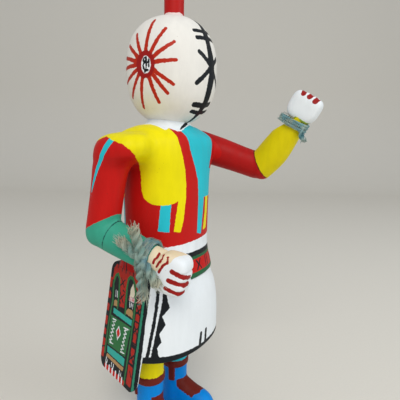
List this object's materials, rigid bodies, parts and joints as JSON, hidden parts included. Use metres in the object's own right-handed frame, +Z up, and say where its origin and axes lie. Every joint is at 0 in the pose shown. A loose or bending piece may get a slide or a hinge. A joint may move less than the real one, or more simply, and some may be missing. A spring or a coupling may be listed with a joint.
{
  "type": "kachina doll",
  "caption": "Carved and painted wooden kachina doll: a standing kilted figure with a round mask, a peg on its crown, one raised arm and yarn ties at the wrists.",
  "frame": {"origin": "middle of the bounding box's base, on the plane the soles stand on", "axes": "+Z up along the standing figure, -Y the way the figure faces, -X to the figure's right side"},
  "size_m": [0.1226, 0.124, 0.306],
  "materials": {
    "body_paint": "satin paint",
    "topknot_paint": "satin paint",
    "right_upper_arm_paint": "satin paint",
    "right_forearm_paint": "satin paint",
    "left_upper_arm_paint": "satin paint",
    "left_forearm_paint": "satin paint",
    "right_yarn": "fuzzy wool",
    "left_yarn": "wool"
  },
  "bodies": {
    "root": {"body": "body_paint", "red_topknot": "topknot_paint", "right_upper_arm": "right_upper_arm_paint", "right_forearm": "right_forearm_paint", "left_upper_arm": "left_upper_arm_paint", "left_forearm": "left_forearm_paint", "right_wrist_yarn": "right_yarn", "left_wrist_yarn": "left_yarn"}
  },
  "joints": []
}
